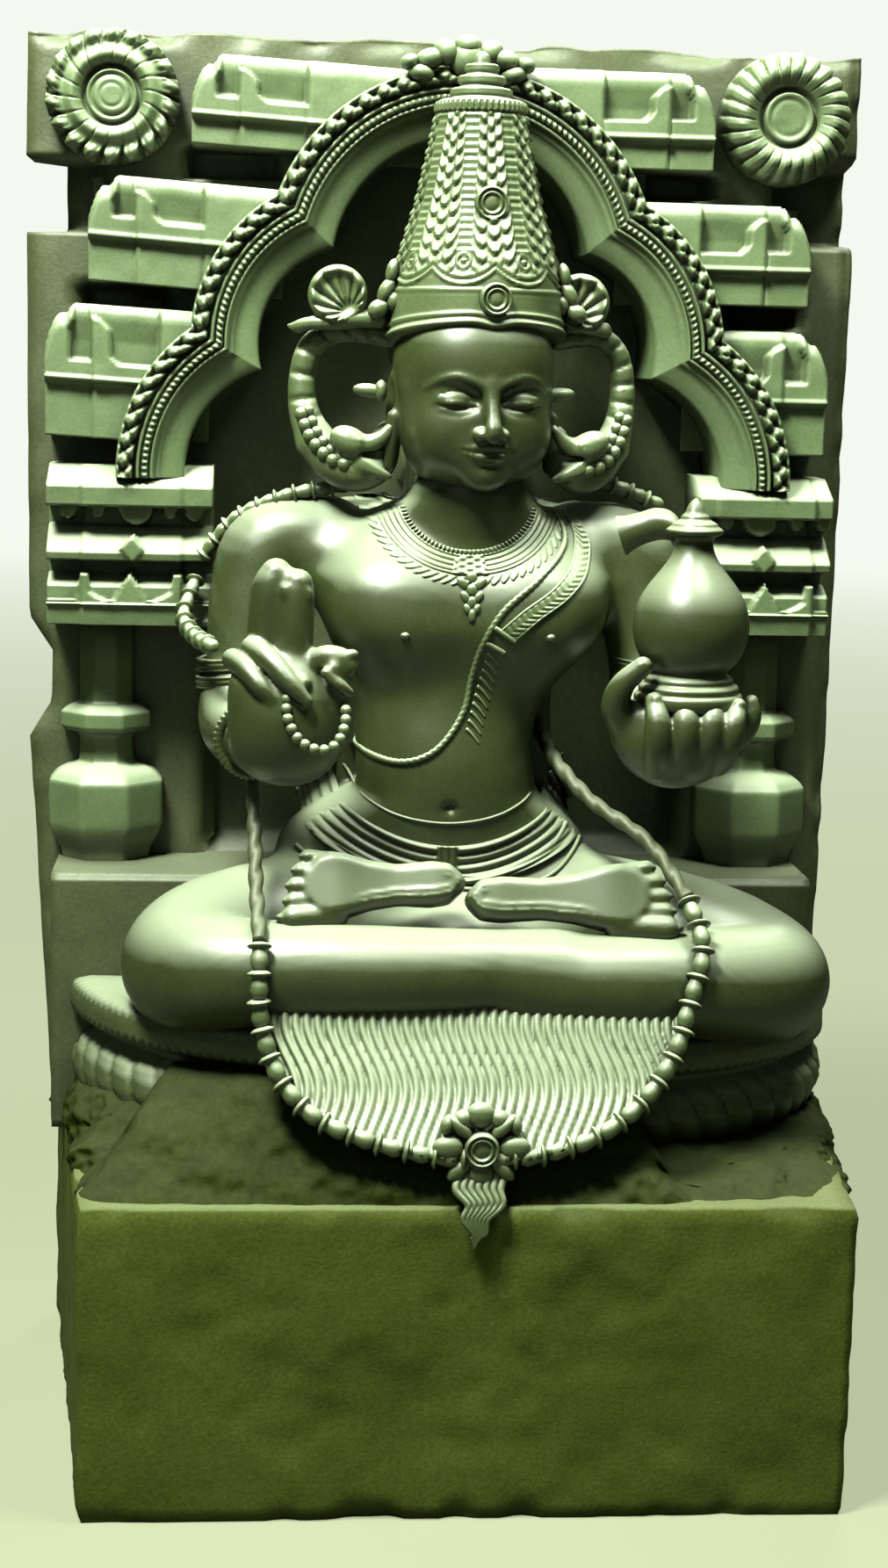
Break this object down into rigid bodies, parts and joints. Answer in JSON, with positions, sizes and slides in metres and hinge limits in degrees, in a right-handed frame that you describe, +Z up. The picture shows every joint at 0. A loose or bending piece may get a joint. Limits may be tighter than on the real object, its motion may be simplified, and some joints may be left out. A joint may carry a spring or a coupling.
{
  "type": "stone relief panel of mangala",
  "caption": "Carved stone panel on a plain block: a crowned figure seated cross-legged under a five-lobed arch, holding a string of beads and a water pot.",
  "frame": {"origin": "on the underside, below the middle of the bounding box, where the panel stands", "axes": "+Z up, -Y towards the viewer (the carved face), +Y towards the plain back, +X to the viewer's right"},
  "size_m": [0.676, 0.43, 1.1],
  "materials": {
    "stone": "dark grey-green chlorite, softly polished on the figure, rougher on the block"
  },
  "bodies": {
    "root": {"mangala_relief": "stone"}
  },
  "joints": []
}
